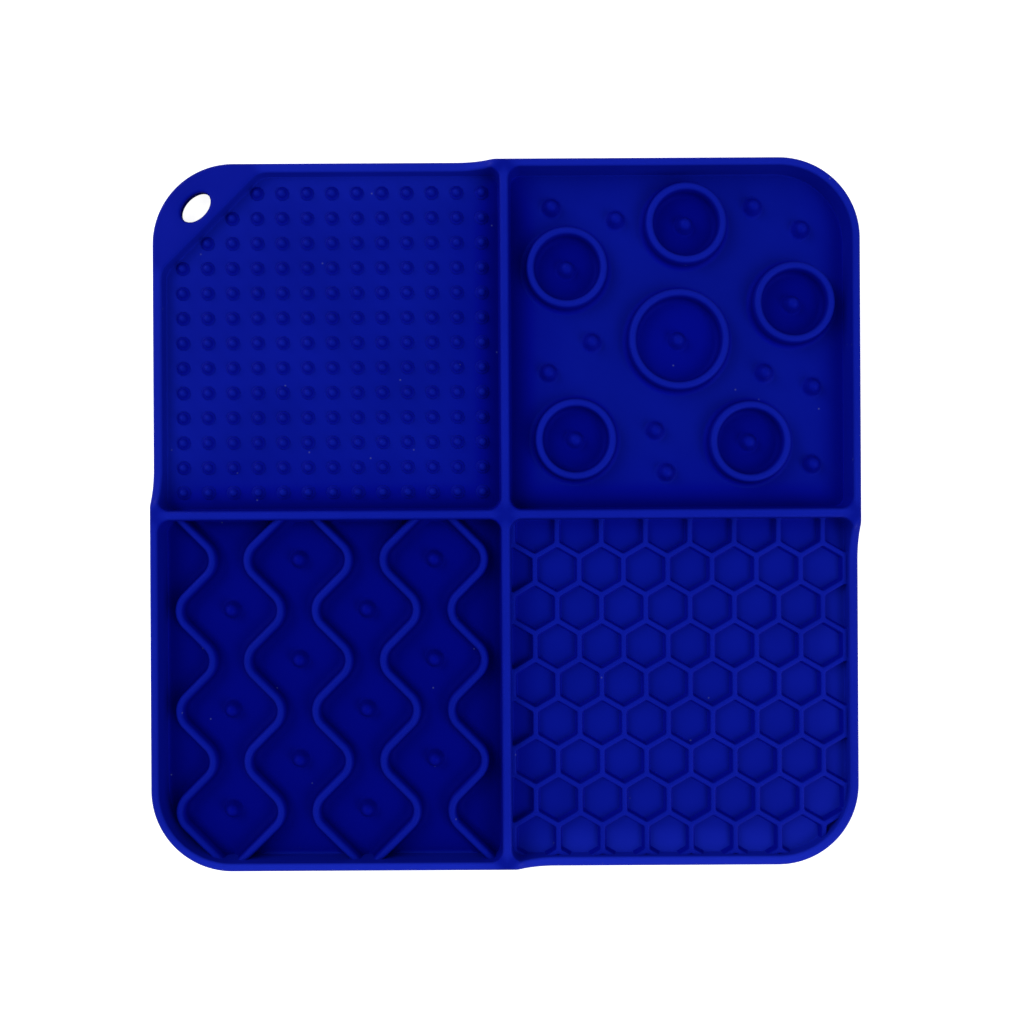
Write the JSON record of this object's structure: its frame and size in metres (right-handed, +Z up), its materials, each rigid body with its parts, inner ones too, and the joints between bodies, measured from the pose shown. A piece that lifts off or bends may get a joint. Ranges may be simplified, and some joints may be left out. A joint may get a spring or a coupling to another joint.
{
  "type": "lick mat",
  "caption": "Square silicone lick mat with rounded corners: a raised rim and cross part it into nub, ring, wave and honeycomb bays for spreading pet food, with an oval hanging hole.",
  "frame": {"origin": "middle of the mat's flat underside", "axes": "+Z up, out of the bays; +X to the right and +Y to the back, so that the hanging hole is at -X +Y"},
  "size_m": [0.2, 0.2, 0.01],
  "materials": {
    "silicone": "satin"
  },
  "bodies": {
    "root": {"base_sheet": "silicone", "divider_left": "silicone", "divider_right": "silicone", "divider_spine": "silicone", "hanging_tab": "silicone", "honeycomb_grid": "silicone", "nub_field": "silicone", "nub_rim_back": "silicone", "nub_rim_left": "silicone", "rim_honeycomb_bay": "silicone", "rim_ring_bay": "silicone", "rim_wave_bay": "silicone", "ring_centre_nubs": "silicone", "ring_cup_large": "silicone", "ring_cups": "silicone", "scattered_nubs": "silicone", "wave_nubs": "silicone", "wave_ridge_1": "silicone", "wave_ridge_2": "silicone", "wave_ridge_3": "silicone", "wave_ridge_4": "silicone", "wave_ridge_5": "silicone"}
  },
  "joints": []
}
